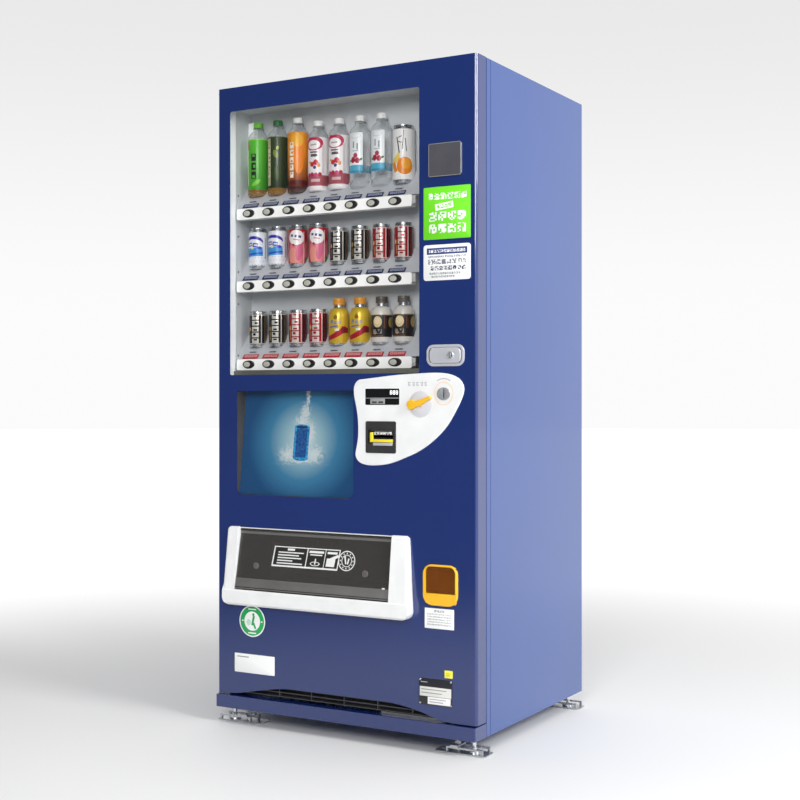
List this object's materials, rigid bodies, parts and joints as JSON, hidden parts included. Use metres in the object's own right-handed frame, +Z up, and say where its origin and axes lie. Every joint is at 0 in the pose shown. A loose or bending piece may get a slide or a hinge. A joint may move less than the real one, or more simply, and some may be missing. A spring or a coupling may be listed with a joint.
{
  "type": "drink vending machine",
  "caption": "Upright refrigerated vending machine for canned and bottled drinks, with a lit sample window, push buttons, coin and note slots and a delivery flap.",
  "frame": {"origin": "centre of the machine's bounding box, on the floor", "axes": "+Z up, the buyer stands on the -Y side, +X to the buyer's right"},
  "size_m": [0.868, 0.74, 1.83],
  "materials": {
    "blue_paint": "gloss powder coat",
    "white_moulding": "satin",
    "display_grey": "satin white-grey",
    "clear_pane": "clear acrylic",
    "sample_print": "gloss printed",
    "button_black": "satin",
    "dark_display": "gloss",
    "black_plastic": "fine texture",
    "yellow_plastic": "satin",
    "grey_plastic": "fine texture",
    "grey_metal": "silver lacquer",
    "chrome_trim": "polished",
    "zinc_steel": "zinc plated",
    "smoked_flap": "smoked acrylic",
    "amber_flap": "tinted acrylic",
    "poster_board": "satin",
    "foam_lined": "satin white",
    "galvanised": "spangled",
    "black_steel": "gloss enamel",
    "coil_fins": "plain",
    "fan_plastic": "satin",
    "slat_black": "satin"
  },
  "bodies": {
    "cabinet": {"cabinet_shell": "blue_paint", "base_skirt": "blue_paint", "insulated_liner": "foam_lined", "leveling_feet": "chrome_trim", "foot_plates": "zinc_steel", "door_hinges": "zinc_steel", "product_racks": "galvanised", "product_chute": "galvanised", "compressor": "black_steel", "condenser_coil": "coil_fins", "evaporator_coil": "coil_fins", "fan_motors": "black_steel"},
    "door": {"door_panel": "blue_paint", "door_grille": "slat_black", "display_box": "display_grey", "display_window": "clear_pane", "display_shelves": "display_grey", "button_strips": "white_moulding", "sample_products": "sample_print", "coin_panel": "white_moulding", "amount_display": "dark_display", "bill_validator": "black_plastic", "coin_mechanism": "black_plastic", "card_reader": "grey_plastic", "lock_housing": "grey_metal", "poster_panel": "poster_board", "delivery_housing": "white_moulding", "coin_return_cup": "yellow_plastic"},
    "inner_door": {"inner_door": "foam_lined"},
    "delivery_flap": {"delivery_flap": "smoked_flap"},
    "coin_return_flap": {"coin_return_flap": "amber_flap"},
    "lock_handle": {"lock_handle": "grey_metal"},
    "key_cylinder": {"key_cylinder": "chrome_trim"},
    "return_lever": {"return_lever": "yellow_plastic"},
    "condenser_fan": {"condenser_fan": "fan_plastic"},
    "evaporator_fan": {"evaporator_fan": "fan_plastic"},
    "button_r1_c1": {"button_r1_c1": "button_black"},
    "button_r1_c2": {"button_r1_c2": "button_black"},
    "button_r1_c3": {"button_r1_c3": "button_black"},
    "button_r1_c4": {"button_r1_c4": "button_black"},
    "button_r1_c5": {"button_r1_c5": "button_black"},
    "button_r1_c6": {"button_r1_c6": "button_black"},
    "button_r1_c7": {"button_r1_c7": "button_black"},
    "button_r1_c8": {"button_r1_c8": "button_black"},
    "button_r2_c1": {"button_r2_c1": "button_black"},
    "button_r2_c2": {"button_r2_c2": "button_black"},
    "button_r2_c3": {"button_r2_c3": "button_black"},
    "button_r2_c4": {"button_r2_c4": "button_black"},
    "button_r2_c5": {"button_r2_c5": "button_black"},
    "button_r2_c6": {"button_r2_c6": "button_black"},
    "button_r2_c7": {"button_r2_c7": "button_black"},
    "button_r2_c8": {"button_r2_c8": "button_black"},
    "button_r3_c1": {"button_r3_c1": "button_black"},
    "button_r3_c2": {"button_r3_c2": "button_black"},
    "button_r3_c3": {"button_r3_c3": "button_black"},
    "button_r3_c4": {"button_r3_c4": "button_black"},
    "button_r3_c5": {"button_r3_c5": "button_black"},
    "button_r3_c6": {"button_r3_c6": "button_black"},
    "button_r3_c7": {"button_r3_c7": "button_black"},
    "button_r3_c8": {"button_r3_c8": "button_black"}
  },
  "joints": [
    {"name": "door_hinge", "type": "hinge", "parent": "cabinet", "child": "door", "pos_m": [-0.41, -0.31, 0.9], "axis": [0, 0, -1], "range_deg": [0, 120]},
    {"name": "inner_door_hinge", "type": "hinge", "parent": "cabinet", "child": "inner_door", "pos_m": [-0.377, -0.144, 1.19], "axis": [0, 0, -1], "range_deg": [0, 72]},
    {"name": "delivery_flap_hinge", "type": "hinge", "parent": "door", "child": "delivery_flap", "pos_m": [-0.085, -0.332, 0.5575], "axis": [1, 0, 0], "range_deg": [0, 55], "stiffness_Nm_per_rad": 0.3, "springref_deg": -20.05},
    {"name": "coin_return_flap_hinge", "type": "hinge", "parent": "door", "child": "coin_return_flap", "pos_m": [0.315, -0.34, 0.4875], "axis": [1, 0, 0], "range_deg": [0, 60]},
    {"name": "lock_handle_hinge", "type": "hinge", "parent": "door", "child": "lock_handle", "pos_m": [0.288, -0.338, 1.0475], "axis": [0, 0, -1], "range_deg": [0, 50]},
    {"name": "key_turn", "type": "hinge", "parent": "lock_handle", "child": "key_cylinder", "pos_m": [0.344, -0.338, 1.0475], "axis": [0, 1, 0], "range_deg": [0, 90]},
    {"name": "return_lever_pivot", "type": "hinge", "parent": "door", "child": "return_lever", "pos_m": [0.255, -0.346, 0.919], "axis": [0, -1, 0], "range_deg": [0, 30], "stiffness_Nm_per_rad": 0.15, "springref_deg": -17.19},
    {"name": "condenser_fan_spin", "type": "hinge", "parent": "cabinet", "child": "condenser_fan", "pos_m": [-0.14, -0.163, 0.185], "axis": [0, 1, 0], "continuous": true},
    {"name": "evaporator_fan_spin", "type": "hinge", "parent": "cabinet", "child": "evaporator_fan", "pos_m": [-0.085, 0.102, 0.438], "axis": [0, 1, 0], "continuous": true},
    {"name": "button_r1_c1_press", "type": "slide", "parent": "door", "child": "button_r1_c1", "axis": [0, 1, 0], "range_m": [0, 0.003], "stiffness_N_per_m": 250, "springref_m": -0.002},
    {"name": "button_r1_c2_press", "type": "slide", "parent": "door", "child": "button_r1_c2", "axis": [0, 1, 0], "range_m": [0, 0.003], "stiffness_N_per_m": 250, "springref_m": -0.002},
    {"name": "button_r1_c3_press", "type": "slide", "parent": "door", "child": "button_r1_c3", "axis": [0, 1, 0], "range_m": [0, 0.003], "stiffness_N_per_m": 250, "springref_m": -0.002},
    {"name": "button_r1_c4_press", "type": "slide", "parent": "door", "child": "button_r1_c4", "axis": [0, 1, 0], "range_m": [0, 0.003], "stiffness_N_per_m": 250, "springref_m": -0.002},
    {"name": "button_r1_c5_press", "type": "slide", "parent": "door", "child": "button_r1_c5", "axis": [0, 1, 0], "range_m": [0, 0.003], "stiffness_N_per_m": 250, "springref_m": -0.002},
    {"name": "button_r1_c6_press", "type": "slide", "parent": "door", "child": "button_r1_c6", "axis": [0, 1, 0], "range_m": [0, 0.003], "stiffness_N_per_m": 250, "springref_m": -0.002},
    {"name": "button_r1_c7_press", "type": "slide", "parent": "door", "child": "button_r1_c7", "axis": [0, 1, 0], "range_m": [0, 0.003], "stiffness_N_per_m": 250, "springref_m": -0.002},
    {"name": "button_r1_c8_press", "type": "slide", "parent": "door", "child": "button_r1_c8", "axis": [0, 1, 0], "range_m": [0, 0.003], "stiffness_N_per_m": 250, "springref_m": -0.002},
    {"name": "button_r2_c1_press", "type": "slide", "parent": "door", "child": "button_r2_c1", "axis": [0, 1, 0], "range_m": [0, 0.003], "stiffness_N_per_m": 250, "springref_m": -0.002},
    {"name": "button_r2_c2_press", "type": "slide", "parent": "door", "child": "button_r2_c2", "axis": [0, 1, 0], "range_m": [0, 0.003], "stiffness_N_per_m": 250, "springref_m": -0.002},
    {"name": "button_r2_c3_press", "type": "slide", "parent": "door", "child": "button_r2_c3", "axis": [0, 1, 0], "range_m": [0, 0.003], "stiffness_N_per_m": 250, "springref_m": -0.002},
    {"name": "button_r2_c4_press", "type": "slide", "parent": "door", "child": "button_r2_c4", "axis": [0, 1, 0], "range_m": [0, 0.003], "stiffness_N_per_m": 250, "springref_m": -0.002},
    {"name": "button_r2_c5_press", "type": "slide", "parent": "door", "child": "button_r2_c5", "axis": [0, 1, 0], "range_m": [0, 0.003], "stiffness_N_per_m": 250, "springref_m": -0.002},
    {"name": "button_r2_c6_press", "type": "slide", "parent": "door", "child": "button_r2_c6", "axis": [0, 1, 0], "range_m": [0, 0.003], "stiffness_N_per_m": 250, "springref_m": -0.002},
    {"name": "button_r2_c7_press", "type": "slide", "parent": "door", "child": "button_r2_c7", "axis": [0, 1, 0], "range_m": [0, 0.003], "stiffness_N_per_m": 250, "springref_m": -0.002},
    {"name": "button_r2_c8_press", "type": "slide", "parent": "door", "child": "button_r2_c8", "axis": [0, 1, 0], "range_m": [0, 0.003], "stiffness_N_per_m": 250, "springref_m": -0.002},
    {"name": "button_r3_c1_press", "type": "slide", "parent": "door", "child": "button_r3_c1", "axis": [0, 1, 0], "range_m": [0, 0.003], "stiffness_N_per_m": 250, "springref_m": -0.002},
    {"name": "button_r3_c2_press", "type": "slide", "parent": "door", "child": "button_r3_c2", "axis": [0, 1, 0], "range_m": [0, 0.003], "stiffness_N_per_m": 250, "springref_m": -0.002},
    {"name": "button_r3_c3_press", "type": "slide", "parent": "door", "child": "button_r3_c3", "axis": [0, 1, 0], "range_m": [0, 0.003], "stiffness_N_per_m": 250, "springref_m": -0.002},
    {"name": "button_r3_c4_press", "type": "slide", "parent": "door", "child": "button_r3_c4", "axis": [0, 1, 0], "range_m": [0, 0.003], "stiffness_N_per_m": 250, "springref_m": -0.002},
    {"name": "button_r3_c5_press", "type": "slide", "parent": "door", "child": "button_r3_c5", "axis": [0, 1, 0], "range_m": [0, 0.003], "stiffness_N_per_m": 250, "springref_m": -0.002},
    {"name": "button_r3_c6_press", "type": "slide", "parent": "door", "child": "button_r3_c6", "axis": [0, 1, 0], "range_m": [0, 0.003], "stiffness_N_per_m": 250, "springref_m": -0.002},
    {"name": "button_r3_c7_press", "type": "slide", "parent": "door", "child": "button_r3_c7", "axis": [0, 1, 0], "range_m": [0, 0.003], "stiffness_N_per_m": 250, "springref_m": -0.002},
    {"name": "button_r3_c8_press", "type": "slide", "parent": "door", "child": "button_r3_c8", "axis": [0, 1, 0], "range_m": [0, 0.003], "stiffness_N_per_m": 250, "springref_m": -0.002}
  ],
  "couplings": [
    {"joint": "inner_door_hinge", "follows": "door_hinge", "ratio": 0.6}
  ]
}
